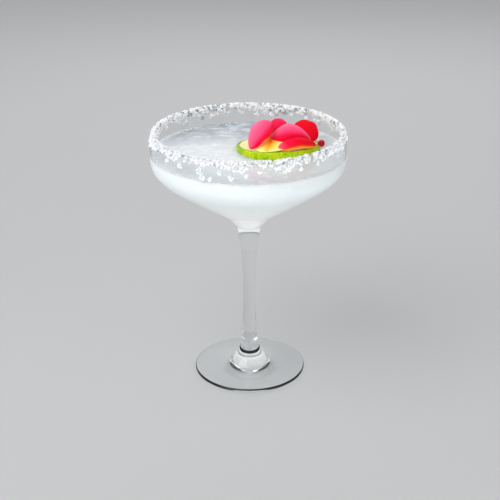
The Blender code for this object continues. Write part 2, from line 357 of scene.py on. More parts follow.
def soft_step(value: np.ndarray, low: float, high: float) -> np.ndarray:
    """0 below low, 1 above high, and the cubic 3t^2 - 2t^3 between."""
    share = np.clip((value - low) / (high - low), 0.0, 1.0)
    return share * share * (3.0 - 2.0 * share)


def ripples(x: np.ndarray, y: np.ndarray, seed: int, size: float, octaves: int = 4) -> np.ndarray:
    """Soft uneven waves between about -1 and 1: sines of random slant, halved an octave at a time.

    Args:
        x: first place.
        y: second place.
        seed: picks the slants and the phases.
        size: length of the longest wave.
        octaves: how many wavelengths are added.

    Returns:
        The height at each place.
    """
    draw = np.random.default_rng(seed)
    total = np.zeros(np.broadcast(x, y).shape)
    for octave in range(octaves):
        for turn, phase in draw.uniform(0.0, 2 * math.pi, (5, 2)):
            wave = 2 * math.pi * 2**octave / size
            total += np.sin(wave * (x * math.cos(turn) + y * math.sin(turn)) + phase) / 2**octave
    return total / 4.0


def turned(profile: np.ndarray, steps: int) -> np.ndarray:
    """A profile of (radius, height) carried round the z axis.

    Args:
        profile: the points of the section.
        steps: angles in the whole turn.

    Returns:
        Points as rows along the profile by columns round the axis.
    """
    angle = np.arange(steps) * 2 * math.pi / steps
    return round_axis(profile[:, :1], angle, profile[:, 1:])


@dataclass
class Skin:
    """A mesh worked out on a grid of points, with numbers that its material reads."""

    name: str
    points: np.ndarray
    closed: bool = True
    marks: dict[str, np.ndarray] = field(default_factory=dict)

    def faces(self) -> np.ndarray:
        """Four point numbers for each cell of the grid."""
        rows, columns = self.points.shape[:2]
        number = np.arange(rows * columns).reshape(rows, columns)
        if self.closed:
            number = np.hstack([number, number[:, :1]])
        corners = (number[:-1, :-1], number[:-1, 1:], number[1:, 1:], number[1:, :-1])
        return np.stack(corners, axis=2).reshape(-1, 4)

    def grid_places(self) -> np.ndarray:
        """The grid's own coordinates, 0 to 1 both ways, at each corner of each face."""
        rows, columns = self.points.shape[:2]
        wide = columns + 1 if self.closed else columns
        u, v = np.meshgrid(np.linspace(0, 1, wide), np.linspace(0, 1, rows))
        place = np.stack([u, v], axis=2)
        corners = (place[:-1, :-1], place[:-1, 1:], place[1:, 1:], place[1:, :-1])
        return np.stack(corners, axis=2).reshape(-1, 2)

    def build(self) -> bpy.types.Object:
        """Make the object, with its poles closed and its faces pointing out.

        Returns:
            The object, in the scene.
        """
        faces = self.faces()
        mesh = bpy.data.meshes.new(self.name)
        mesh.from_pydata(self.points.reshape(-1, 3).tolist(), [], faces.tolist())
        layer = mesh.uv_layers.new(name="UVMap")
        layer.data.foreach_set("uv", self.grid_places().astype(np.float32).ravel())
        for name, values in self.marks.items():
            mark = mesh.attributes.new(name, "FLOAT", "POINT")
            values = np.broadcast_to(values, self.points.shape[:2])
            mark.data.foreach_set("value", values.astype(np.float32).ravel())
        tidy(mesh)
        return show(self.name, mesh)


def tidy(mesh: bpy.types.Mesh) -> None:
    """Merge what coincides, drop empty faces, and point the faces out.

    Args:
        mesh: the mesh, changed in place.
    """
    shape = bmesh.new()
    shape.from_mesh(mesh)
    bmesh.ops.remove_doubles(shape, verts=shape.verts, dist=MERGE_DISTANCE)
    bmesh.ops.dissolve_degenerate(shape, edges=shape.edges, dist=SLIVER_LENGTH)
    bmesh.ops.recalc_face_normals(shape, faces=shape.faces)
    shape.to_mesh(mesh)
    shape.free()
    mesh.shade_smooth()


def show(name: str, mesh: bpy.types.Mesh) -> bpy.types.Object:
    """Put a mesh into the scene at the origin.

    Args:
        name: the object's name.
        mesh: its mesh.

    Returns:
        The object.
    """
    item = bpy.data.objects.new(name, mesh)
    bpy.context.scene.collection.objects.link(item)
    return item


def settle(
    item: bpy.types.Object, material: bpy.types.Material, slot: str, *nodes: str
) -> None:
    """Give a piece its material and its body, and hide the nodes that it stands for.

    Args:
        item: the piece.
        material: its finish.
        slot: not used.
        nodes: the nodes that it replaces, if any.
    """
    item.data.materials.append(material)
    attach(item, "root")
    if nodes:
        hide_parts(*nodes)
    LOG.info("%s: %d faces", item.name, len(item.data.polygons))


# ---------------------------------------------------------------- finishes


@dataclass(frozen=True)
class ClearGlass:
    """Drawn, fire-polished soda glass."""

    tint: Colour = (0.925, 0.94, 0.945)
    shadow: Colour = (0.93, 0.95, 0.95)
    ior: float = 1.5

    def material(self) -> bpy.types.Material:
        """Glass that bends light, and lets lamps through to what is in it.

        Returns:
            The material.
        """
        graph = Graph("clear_glass")
        drawn = graph.noise(graph.stretch(graph.place(), (1.0, 1.0, 0.25)), 55.0, 2.0)
        glass = graph.principled(
            Base_Color=self.tint,
            Roughness=0.0,
            IOR=self.ior,
            Transmission_Weight=1.0,
            Normal=graph.bump(drawn, 0.1 * MM, 0.25),
        )
        lamp = graph.node("ShaderNodeBsdfTransparent", inputs={"Color": (*self.shadow, 1.0)})
        is_lamp = graph.node("ShaderNodeLightPath", output="Is Shadow Ray")
        mixed = graph.node("ShaderNodeMixShader", inputs={0: is_lamp, 1: glass, 2: lamp})
        return graph.done(mixed)


@dataclass(frozen=True)
class CloudyDrink:
    """Shaken lime and spirit: milky, with frosty streaks on its surface."""

    body: Colour = (0.80, 0.835, 0.845)
    body_low_painted_light: Colour = (0.97, 0.985, 0.98)
    surface: Colour = (0.69, 0.725, 0.75)
    surface_far_painted_shade: Colour = (0.20, 0.26, 0.32)
    frost: Colour = (0.84, 0.865, 0.88)
    brim: Colour = (0.86, 0.88, 0.88)
    brim_far_painted_shade: Colour = (0.22, 0.26, 0.34)

    def material(self) -> bpy.types.Material:
        """A milky liquid, streaky on top, with painted light and shade: the top is painted greyer
        than the body and darker towards the back, the band along the wall lighter at the front and
        dark at the back, and the body lighter low down.

        Returns:
            The material.
        """
        graph = Graph("cloudy_drink")
        place = graph.place()
        top = graph.attribute("surface")
        edge = graph.attribute("edge")
        streaks = graph.noise(graph.stretch(place, (1.0, 1.5, 1.0)), 150.0, 6.0, 0.66)
        wide = graph.noise(place, 34.0, 3.0)
        frosty = graph.rise(streaks * 0.55 + wide * 0.45, 0.42, 0.64)
        # painted shade: the top surface is painted greyer than the body, and darker still towards
        # the back as far grows
        far = graph.rise(graph.part(place, "Y"), 0.005, 0.055)
        open_water_painted_shade = graph.blend(far, self.surface, self.surface_far_painted_shade)
        calm = graph.blend(frosty * 0.7, open_water_painted_shade, self.frost)
        # painted light along the wall: the band is painted lighter at the front as a painted
        # highlight and dark at the back as painted shade
        brim = graph.blend(graph.rise(far, 0.55, 0.9), self.brim, self.brim_far_painted_shade)
        # painted light: the body is painted lighter low down in the bowl and greyer near the top
        low = graph.rise(graph.part(place, "Z"), 0.126, 0.104)
        body = graph.blend(low, self.body, self.body_low_painted_light)
        colour = graph.blend(top, body, graph.blend(edge * 0.8, calm, brim))
        grain = graph.noise(place, 900.0, 3.0, 0.6)
        height = streaks * 0.25 + grain * 0.1
        return graph.coated(
            Base_Color=colour,
            Roughness=0.14 + frosty * 0.2,
            IOR=1.34,
            Subsurface_Weight=0.8,
            Subsurface_Radius=(1.0, 1.0, 1.0),
            Subsurface_Scale=9.0 * MM,
            Normal=graph.bump(height, 0.35 * MM, 0.5),
        )


@dataclass(frozen=True)
class SaltCrystal:
    """Coarse white salt with broken corners; at the front, nearest the lamps, it carries painted
    shade, a shade darker.
    """

    clear: Colour = (0.74, 0.76, 0.79)
    white: Colour = (0.96, 0.965, 0.97)
    clear_near_painted_shade: Colour = (0.60, 0.62, 0.65)
    white_near_painted_shade: Colour = (0.91, 0.92, 0.93)

    def material(self) -> bpy.types.Material:
        """Cloudy white crystals, each a little different.

        Returns:
            The material.
        """
        graph = Graph("salt_crystals")
        place = graph.place()
        cloud = graph.rise(graph.noise(place, 900.0, 3.0, 0.6), 0.35, 0.6)
        grain = graph.noise(place, 4200.0, 2.0)
        # painted shade: near grows towards the front, where the crystals are painted darker against
        # the strong light
        near = graph.rise(graph.part(place, "Y"), 0.025, -0.035)
        clear = graph.blend(near, self.clear, self.clear_near_painted_shade)
        white = graph.blend(near, self.white, self.white_near_painted_shade)
        return graph.coated(
            Base_Color=graph.blend(cloud, clear, white),
            Roughness=0.25 + grain * 0.3,
            IOR=1.54,
            Subsurface_Weight=0.15,
            Subsurface_Radius=(1.0, 1.0, 1.0),
            Subsurface_Scale=0.4 * MM,
            Normal=graph.bump(grain, 0.08 * MM, 0.6),
        )


@dataclass(frozen=True)
class LimePeel:
    """A fresh lime's green zest, white pith and pale wet flesh."""

    zest: Colour = (0.29, 0.52, 0.002)
    zest_dark: Colour = (0.20, 0.38, 0.002)
    zest_light: Colour = (0.54, 0.67, 0.005)
    # glint is the colour of painted highlights on the zest
    glint: Colour = (0.84, 0.91, 0.12)
    pith: Colour = (1.0, 0.93, 0.52)
    flesh: Colour = (1.0, 0.86, 0.30)
    membrane: Colour = (1.0, 0.93, 0.50)

    def material(self) -> bpy.types.Material:
        """Zest round the side with painted glints, then pith, membranes and flesh on the faces.

        Returns:
            The material.
        """
        graph = Graph("lime_slice")
        place = graph.place()
        zest = graph.attribute("zest")
        flesh = graph.attribute("flesh")
        rim = graph.attribute("rim")
        mottle = graph.noise(place, 260.0, 4.0, 0.6)
        pores = graph.cells(place, 1100.0)
        right = graph.rise(graph.part(place, "X"), 0.0, 0.045)
        light = graph.rise(mottle + right * 0.14, 0.38, 0.66)
        green = graph.blend(light, self.zest, self.zest_light)
        green = graph.blend(graph.rise(mottle, 0.42, 0.30) * 0.8, green, self.zest_dark)
        left = graph.rise(graph.part(place, "X"), 0.004, -0.006)
        deep = graph.rise(mottle, 0.6, 0.4) * 0.5 + left * 0.5
        green = graph.blend(rim * deep, green, self.zest_dark)
        green = graph.blend(graph.rise(pores, 0.28, 0.05) * 0.5, green, self.zest_dark)
        # painted highlights: pale glint specks over the zest stand in for wet glints
        painted_glint_specks = graph.rise(graph.noise(place, 620.0, 2.0), 0.60, 0.70)
        green = graph.blend(painted_glint_specks * 0.55, green, self.glint)
        threads = graph.noise(place, 650.0, 4.0, 0.6)
        pulp = graph.blend(graph.rise(threads, 0.35, 0.7), self.flesh, self.membrane)
        face = graph.blend(flesh, self.pith, pulp)
        ragged = graph.rise(zest + (mottle - 0.5) * 0.8, 0.35, 0.65)
        colour = graph.blend(ragged, face, green)
        height = zest * graph.rise(pores, 0.05, 0.4) * 0.7 + threads * 0.35 + mottle * 0.6
        return graph.coated(
            Base_Color=colour,
            Roughness=0.36 - flesh * 0.12 + mottle * 0.1,
            Specular_IOR_Level=0.14,
            Coat_Weight=graph.rise(threads, 0.45, 0.6) * 0.3,
            Coat_Roughness=0.08,
            Subsurface_Weight=0.2,
            Subsurface_Radius=(1.0, 1.0, 0.4),
            Subsurface_Scale=1.2 * MM,
            Normal=graph.bump(height, 0.25 * MM, 0.8),
        )


@dataclass(frozen=True)
class PetalBlushAndShade:
    """The colours of one velvety petal, partly its own and partly painted light and shade.

    The stops run along a mix of the way across the petal, the way along it and the distance
    from its centre line; they are painted deep red where the petal turns into shade, at folds
    and edges, and pink where it faces the light. The hem is a band of orange and yellow along
    one side.
    """

    name: str
    stops: Stops
    across: float = 0.0
    along: float = 1.0
    offset: float = 0.0
    middle: float = 0.0
    centre: float = 0.5
    pale_edge: float = 0.3
    edge_colour: Colour = (1.0, 0.20, 0.34)
    sheen: Colour = (1.0, 0.4, 0.5)
    hem: tuple[float, float] = (1.6, 1.8)
    hem_stops: Stops = (
        (0.0, (0.80, 0.02, 0.006)), (0.6, (0.85, 0.09, 0.003)), (1.0, (0.98, 0.36, 0.03)),
    )

    def material(self) -> bpy.types.Material:
        """A gradient over the petal's own grid, partly painted light and shade, with fine veins and
        a velvet sheen.

        Returns:
            The material.
        """
        graph = Graph(self.name)
        u, v = graph.attribute("across"), graph.attribute("along")
        grid = graph.node("ShaderNodeCombineXYZ", inputs={"X": u, "Y": v})
        veins = graph.noise(graph.stretch(grid, (26.0, 2.6, 1.0)), 1.0, 4.0, 0.6)
        patch = graph.noise(graph.place(), 220.0, 3.0)
        share = u * self.across + v * self.along + self.offset
        share = share + graph.math("ABSOLUTE", u - self.centre) * self.middle
        share = share + (veins - 0.5) * 0.10 + (patch - 0.5) * 0.12
        # painted light and shade: the ramp runs from deep red in the petal's shaded folds and edges
        # to pink where it faces the light
        colour = graph.ramp(share, self.stops)
        edge = graph.attribute("edge")
        colour = graph.blend(edge * self.pale_edge, colour, self.edge_colour)
        low = graph.rise(u + (patch - 0.5) * 0.15, *self.hem) * graph.rise(v, 1.0, 0.8)
        colour = graph.blend(low, colour, graph.ramp(low, self.hem_stops))
        velvet = graph.noise(graph.place(), 3800.0, 2.0)
        height = veins * 0.7 + velvet * 0.3
        return graph.coated(
            Base_Color=colour,
            Roughness=0.55 + (veins - 0.5) * 0.2,
            Specular_IOR_Level=0.08,
            Sheen_Weight=0.02,
            Sheen_Roughness=0.4,
            Sheen_Tint=self.sheen,
            Subsurface_Weight=0.2,
            Subsurface_Radius=(1.0, 0.15, 0.1),
            Subsurface_Scale=0.6 * MM,
            Normal=graph.bump(height, 0.22 * MM, 0.8),
        )


@dataclass(frozen=True)
class BudSkin:
    """A dark red bud on a pale yellow bead."""

    red: Colour = (0.62, 0.004, 0.010)
    dark: Colour = (0.30, 0.001, 0.004)
    bead: Colour = (1.0, 0.52, 0.24)

    def material(self) -> bpy.types.Material:
        """Waxy red, mottled darker, with the bead by the piece's own mark.

        Returns:
            The material.
        """
        graph = Graph("bud_skin")
        mottle = graph.noise(graph.place(), 700.0, 3.0)
        red = graph.blend(graph.rise(mottle, 0.4, 0.7), self.red, self.dark)
        colour = graph.blend(graph.attribute("bead"), red, self.bead)
        return graph.coated(
            Base_Color=colour,
            Roughness=0.4 + mottle * 0.1,
            Specular_IOR_Level=0.2,
            Normal=graph.bump(mottle, 0.15 * MM, 0.6),
        )


@dataclass(frozen=True)
class Froth:
    """Tiny bubbles and slivers of ice at the drink's edge."""

    colour: Colour = (0.93, 0.95, 0.96)

    def material(self) -> bpy.types.Material:
        """Bright, wet and half clear.

        Returns:
            The material.
        """
        graph = Graph("froth")
        cloud = graph.noise(graph.place(), 1500.0, 2.0)
        return graph.coated(
            Base_Color=self.colour,
            Roughness=0.08 + cloud * 0.14,
            IOR=1.33,
            Subsurface_Weight=0.3,
            Subsurface_Radius=(1.0, 1.0, 1.0),
            Subsurface_Scale=0.5 * MM,
        )


# ---------------------------------------------------------------- the glass


@dataclass
class Coupe:
    """The stemmed glass, turned from one closed section.

    The outline is the outside between the foot's edge and the lip, as radius and height in
    millimetres.
    """

    height: float = 147.0 * MM
    rim_radius: float = 52.6 * MM
    foot_radius: float = 32.4 * MM
    foot_edge: float = 1.9 * MM
    recess_radius: float = 26.5 * MM
    recess_depth: float = 0.8 * MM
    rim_wall: float = 1.1 * MM
    base_wall: float = 2.3 * MM
    wall_fade: float = 2.5
    well_top: float = 98.0 * MM
    well_bottom: float = 90.6 * MM
    crusted_from: float = 120.0 * MM
    wall_points: int = 60
    arc_points: int = 13
    turn_steps: int = 176
    outline: tuple[tuple[float, float], ...] = (
        (24.0, 2.1), (17.0, 2.9), (12.2, 4.2), (9.6, 7.0), (7.2, 11.0), (5.3, 15.2),
        (4.35, 20.5), (3.85, 27.0), (3.5, 42.0), (3.9, 63.0), (5.0, 79.0), (7.7, 91.0),
        (12.5, 97.0), (21.3, 103.0), (35.1, 112.0), (44.0, 118.1), (50.1, 123.0),
        (53.6, 127.8), (54.6, 133.5), (54.1, 140.0),
    )

    def outer(self) -> np.ndarray:
        """The outside as (radius, height), a smooth curve from the foot's edge up to the lip.

        Returns:
            The points, one a row.
        """
        start = (self.foot_radius - self.foot_edge / 2, self.foot_edge)
        end = (self.rim_radius, self.height - self.rim_wall / 2)
        keys = np.vstack([start, np.array(self.outline) * MM, end])
        return smooth_curve(keys, 8)

    def inner(self, gap: float = 0.0) -> np.ndarray:
        """The bowl's inside from the lip down to the axis.

        Each point is the outside's, moved inwards along its normal by the wall there, which
        thickens towards the stem. A short curve closes the bottom of the well.

        Args:
            gap: moves the line further into the bowl, or into the wall where it is negative.

        Returns:
            The points, one a row.
        """
        outer = self.outer()
        share = np.clip((outer[:, 1] - self.well_top) / (self.height - self.well_top), 0, 1)
        wall = self.rim_wall + (self.base_wall - self.rim_wall) * (1 - share) ** self.wall_fade
        inside = outer + left_of(outer) * (wall + gap)[:, None]
        keep = (inside[:, 1] > self.well_top) & (outer[:, 1] > self.well_top)
        line = inside[keep][::-1]
        radius, top = line[-1]
        drop = top - self.well_bottom
        well = np.array([
            (radius, top),
            (radius * 0.52, self.well_bottom + drop * 0.42 + gap / 2),
            (radius * 0.2, self.well_bottom + drop * 0.08 + gap),
            (0.0, self.well_bottom + gap),
        ])
        return np.vstack([line[:-1], smooth_curve(well, 10)])

    def lip(self) -> np.ndarray:
        """The half circle over the lip, from outside to inside.

        Returns:
            The points, one a row.
        """
        radius = self.rim_wall / 2
        angle = np.linspace(0, math.pi, self.arc_points)
        centre = np.array([self.rim_radius - radius, self.height - radius])
        return centre + radius * np.stack([np.cos(angle), np.sin(angle)], axis=1)

    def section(self) -> np.ndarray:
        """The whole closed section, from the axis under the foot to the axis in the well.

        The foot's underside rises to a shallow recess as 1 - share^4, and its edge is a half
        circle.

        Returns:
            The points, one a row.
        """
        half = self.foot_edge / 2
        angle = np.linspace(-math.pi / 2, math.pi / 2, self.arc_points)
        centre = np.array([self.foot_radius - half, half])
        edge = centre + half * np.stack([np.cos(angle), np.sin(angle)], axis=1)
        share = np.linspace(0, 1, 12)
        lift = self.recess_depth * (1 - share**4)
        under = np.stack([self.recess_radius * share, lift], axis=1)
        return np.vstack([under, edge, self.outer()[1:-1], self.lip(), self.inner()[1:]])

    def build(self) -> None:
        """The glass as one turned skin."""
        glass = Skin("coupe_glass", turned(self.section(), self.turn_steps)).build()
        settle(glass, ClearGlass().material(), "clear_glass", "glass", "glass_rim")

    def rim_path(self, inside: float, outside: float, count: int) -> tuple[np.ndarray, np.ndarray]:
        """The rim's surface as a path over the lip, with its outward normals.

        Args:
            inside: how far the path goes down inside.
            outside: how far it goes down outside.
            count: points on the path.

        Returns:
            Points and normals in the (radius, height) plane, from inside to outside.
        """
        outer = self.outer()
        upper = outer[outer[:, 1] > self.crusted_from]
        line = np.vstack([upper, self.lip()[1:], self.inner()[1 : self.wall_points]])[::-1]
        steps = np.linalg.norm(np.diff(line, axis=0), axis=1)
        length = np.concatenate([[0.0], np.cumsum(steps)])
        top = length[np.argmax(line[:, 1])]
        at = np.linspace(top - inside, top + outside, count)
        path = read_line(line, length, at)
        return path, left_of(path)


# ---------------------------------------------------------------- the lime slice


@dataclass
class LimeSlice:
    """An oval slice that floats with its front edge raised and its left end a little low."""

    top: Place = (16.3 * MM, 4.7 * MM, 137.8 * MM)
    radius: float = 23.3 * MM
    depth_ratio: float = 0.93
    thickness: float = 5.4 * MM
    bulge: float = 0.6 * MM
    flesh_sink: float = 0.35 * MM
    cell_relief: float = 0.10 * MM
    corner_round: float = 0.35 * MM
    rind_waves: float = 0.18 * MM
    face_waves: float = 0.10 * MM
    tilt: float = math.radians(6.0)
    roll: float = math.radians(1.4)
    segments: int = 10
    columns: int = 288

    def lay(self, points: np.ndarray) -> np.ndarray:
        """Points of the slice's own frame squashed, turned and put into place.

        Args:
            points: the points, on a round slice about the origin.

        Returns:
            The points in the glass's frame.
        """
        squash = Matrix.Diagonal((1.0, self.depth_ratio, 1.0, 1.0))
        turn = Matrix.Rotation(-self.roll, 4, "Y") @ Matrix.Rotation(-self.tilt, 4, "X")
        return placed(points, Matrix.Translation(self.top) @ turn @ squash)

    def outside(self, x: np.ndarray, y: np.ndarray) -> np.ndarray:
        """Distance from the slice's outline on the drink, below 0 under the slice.

        With reach the distance from the middle over the oval's own radius that way, it is the
        distance from the middle times 1 - 1 / reach.

        Args:
            x: places to the right.
            y: places to the back.

        Returns:
            The distances.
        """
        dx, dy = x - self.top[0], y - self.top[1]
        far = np.sqrt(dx**2 + dy**2) + 1e-9
        reach = np.sqrt((dx / self.radius) ** 2 + (dy / (self.radius * self.depth_ratio)) ** 2)
        return far * (1.0 - 1.0 / np.maximum(reach, 1e-6))

    def underside(self, x: np.ndarray, y: np.ndarray) -> np.ndarray:
        """Height of the slice's lower face over places on the drink, a tilted plane.

        Args:
            x: places to the right.
            y: places to the back.

        Returns:
            The heights.
        """
        raised = (self.top[1] - y) * math.tan(self.tilt) + (x - self.top[0]) * math.tan(self.roll)
        return self.top[2] - self.thickness + raised

    def faces(self, share: np.ndarray, angle: np.ndarray) -> dict[str, np.ndarray]:
        """Relief and marks of a cut face.

        The membranes are spokes, narrow at the middle of the slice. Between them the flesh is
        sunk, with drop-shaped cells that point at the middle. Pith rings it.

        Args:
            share: distance from the middle over the flat face's radius.
            angle: direction from the middle.

        Returns:
            The sink in metres, and the flesh mark.
        """
        wobble = 0.012 * np.sin(3 * angle + 0.8) + 0.008 * np.sin(7 * angle)
        spoke = np.abs(np.sin((angle + 0.05 * np.sin(5 * angle)) * self.segments / 2))
        across = spoke * share * self.radius / self.segments * 2
        inner = soft_step(share, 0.06, 0.11) * (1 - soft_step(share + wobble, 0.84, 0.875))
        flesh = inner * soft_step(across, 0.25 * MM, 0.55 * MM)
        drops = np.sin(share * 34 + 3.0 * np.sin(angle * 23)) * np.sin(angle * 61 + share * 9)
        sink = flesh * (self.flesh_sink + self.cell_relief * drops)
        return {"sink": sink, "flesh": flesh}

    def build(self) -> None:
        """The slice as one skin: top face, rind and lower face.

        Its profile runs out over the top face, round the rind as a half ellipse and back in
        under it. Soft waves make the rind and the faces a little uneven.
        """
        flat = self.radius - self.bulge
        rings = np.concatenate([np.linspace(0, 0.82, 60), np.linspace(0.83, 1.0, 26)])
        turn = np.linspace(math.pi / 2, -math.pi / 2, 23)[1:-1]
        half = self.thickness / 2
        share = np.concatenate([rings, np.ones(len(turn)), rings[::-1]])[:, None]
        bulge = np.concatenate([0 * rings, self.bulge * np.cos(turn), 0 * rings])[:, None]
        level = np.concatenate([rings * 0 + half, half * np.sin(turn), rings * 0 - half])[:, None]
        side = np.concatenate([np.ones_like(rings), 0 * turn, -np.ones_like(rings)])[:, None]
        face = np.abs(side)
        rind = 1.0 - face
        angle = (np.arange(self.columns) * 2 * math.pi / self.columns)[None, :]
        cut = self.faces(share, angle)
        uneven = self.rind_waves * ripples(angle * 20 * MM, level, 5, 25 * MM)
        radius = flat * share + bulge + uneven * share
        round_off = self.corner_round * soft_step(share, 0.97, 1.0) * face
        height = level - half - side * (cut["sink"] * face + round_off)
        x, y = radius * np.cos(angle), radius * np.sin(angle)
        height = height + self.face_waves * ripples(x, y, 8, 14 * MM)
        zest = np.maximum(rind, soft_step(share + 0.004 * np.sin(9 * angle), 0.915, 0.945))
        rim = soft_step(share, 0.955, 0.985) * face
        rim = rim + rind * soft_step(np.abs(level) / half, 0.86, 1.0)
        marks = {"zest": zest, "flesh": cut["flesh"] * face, "rim": np.clip(rim, 0, 1)}
        points = self.lay(np.stack([x, y, height], axis=2))
        wheel = Skin("lime_wheel", points, marks=marks).build()
        settle(wheel, LimePeel().material(), "lime_green", "lime_slice")


# ---------------------------------------------------------------- the drink


@dataclass
class Drink:
    """The milky drink: its level, how it creeps up what it meets, and its fill."""

    glass: Coupe
    lime: LimeSlice
    level: float = 134.8 * MM
    into_wall: float = 0.15 * MM
    creep: float = 0.65 * MM
    creep_width: float = 1.3 * MM
    slice_creep: float = 0.55 * MM
    slice_creep_width: float = 0.9 * MM
    edge_width: float = 0.7 * MM
    waves: float = 0.06 * MM
    under_gap: float = 0.25 * MM
    steps: int = 300

    def build(self) -> None:
        """The drink as one skin: its surface, then down the wall to the bottom of the well.

        The surface is level + creep * exp(-d / width), with d the distance to the wall or to
        the slice. Under the slice it drops to just below the slice's lower face.
        """
        wall = self.glass.inner(-self.into_wall)
        wall = wall[wall[:, 1] < self.level + self.creep]
        reach = wall[0, 0]
        spread = np.linspace(0, 1, 150)
        radius = reach * (1 - (1 - spread) ** 1.25)
        surface = np.stack([radius, np.full_like(radius, self.level)], axis=1)
        profile = np.vstack([surface, wall[1:]])
        points = turned(profile, self.steps)
        top = (np.arange(len(profile)) < len(surface))[:, None]
        x, y = points[..., 0], points[..., 1]
        gap = reach - np.hypot(x, y)
        out = self.lime.outside(x, y)
        lift = self.creep * np.exp(-gap / self.creep_width)
        lift = lift + self.slice_creep * np.exp(-np.maximum(out, 0) / self.slice_creep_width)
        lift = lift + self.waves * ripples(x, y, 3, 38 * MM, 3)
        free = self.level + lift
        under = self.lime.underside(x, y) - self.under_gap
        share = soft_step(out, -1.6 * MM, -0.5 * MM)
        height = np.where(under < free, under * (1 - share) + free * share, free)
        points[..., 2] = np.where(top, height, points[..., 2])
        # edge marks the band along the wall, which the drink's material paints with a painted
        # highlight at the front and painted shade at the back
        marks = {"surface": top * 1.0, "edge": top * np.exp(-gap / self.edge_width)}
        drink = Skin("margarita_drink", points, marks=marks).build()
        settle(drink, CloudyDrink().material(), "cloudy_drink", "drink")


# ---------------------------------------------------------------- scattered grains


def scatter(
    name: str, centres: np.ndarray, sizes: np.ndarray, shape: tuple[np.ndarray, np.ndarray],
    draw: np.random.Generator, squash: float = 0.3,
) -> bpy.types.Object:
    """Many turned, unevenly scaled copies of one small shape, joined in one mesh.

    Each turn is the matrix of a unit quaternion drawn evenly from all turns.

    Args:
        name: the object's name.
        centres: one place a row.
        sizes: each copy's size.
        shape: the points and faces of a shape of size 1.
        draw: where the turns and the squashes come from.
        squash: how much a copy's three sides may differ.

    Returns:
        The object.
    """
    count = len(centres)
    w, x, y, z = unit(draw.normal(size=(count, 4))).T
    turn = np.stack([
        np.stack([1 - 2 * (y * y + z * z), 2 * (x * y - z * w), 2 * (x * z + y * w)], axis=1),
        np.stack([2 * (x * y + z * w), 1 - 2 * (x * x + z * z), 2 * (y * z - x * w)], axis=1),
        np.stack([2 * (x * z - y * w), 2 * (y * z + x * w), 1 - 2 * (x * x + y * y)], axis=1),
    ], axis=1)
    corners, faces = shape
    scale = sizes[:, None] * draw.uniform(1 - squash, 1 + squash, (count, 3))
    local = corners[None] * scale[:, None]
    points = np.einsum("nij,nkj->nki", turn, local) + centres[:, None]
    numbers = faces[None] + (np.arange(count) * len(corners))[:, None, None]
    numbers = numbers.reshape(-1, faces.shape[1])
    mesh = bpy.data.meshes.new(name)
    mesh.from_pydata(points.reshape(-1, 3).tolist(), [], numbers.tolist())
    return show(name, mesh)


def shape_arrays(shape: bmesh.types.BMesh) -> tuple[np.ndarray, np.ndarray]:
    """A small shape as arrays of points and triangles. It is freed.

    Args:
        shape: the shape.

    Returns:
        The points and the faces.
    """
    bmesh.ops.triangulate(shape, faces=shape.faces)
    mesh = bpy.data.meshes.new("shape")
    shape.to_mesh(mesh)
    shape.free()
    corners = np.empty((len(mesh.vertices), 3))
    mesh.vertices.foreach_get("co", corners.ravel())
    faces = np.empty((len(mesh.polygons), 3), int)
    mesh.loops.foreach_get("vertex_index", faces.ravel())
    bpy.data.meshes.remove(mesh)
    return corners, faces


def chipped_cube(chipped: tuple[int, ...], chip: float) -> tuple[np.ndarray, np.ndarray]:
    """A cube of side 1 with some of its corners cut off, in triangles.

    Each cut corner is split into three points, moved along the edges by the chip.

    Args:
        chipped: the numbers, 0 to 7, of the corners that are cut.
        chip: how far along an edge the cut goes.

    Returns:
        The points and the faces.
    """
    signs = np.array([(i, j, k) for i in (-1, 1) for j in (-1, 1) for k in (-1, 1)], float)
    cut = np.isin(np.arange(8), chipped)
    split = np.repeat(signs[cut] * 0.5, 3, axis=0)
    split[np.arange(len(split)), np.tile(np.arange(3), int(cut.sum()))] *= 1 - 2 * chip
    points = np.vstack([signs[~cut] * 0.5, split])
    cloud = bpy.data.meshes.new("cloud")
    cloud.from_pydata(points.tolist(), [], [])
    hull = bmesh.new()
    hull.from_mesh(cloud)
    bpy.data.meshes.remove(cloud)
    bmesh.ops.convex_hull(hull, input=hull.verts)
    bmesh.ops.recalc_face_normals(hull, faces=hull.faces)
    return shape_arrays(hull)


def small_ball(rings: int = 5, steps: int = 8) -> tuple[np.ndarray, np.ndarray]:
    """A ball of size 1 in few triangles.

    Args:
        rings: rows between its poles.
        steps: points in a row.

    Returns:
        The points and the faces.
    """
    ball = bmesh.new()
    bmesh.ops.create_uvsphere(ball, u_segments=steps, v_segments=rings, radius=0.5)
    return shape_arrays(ball)


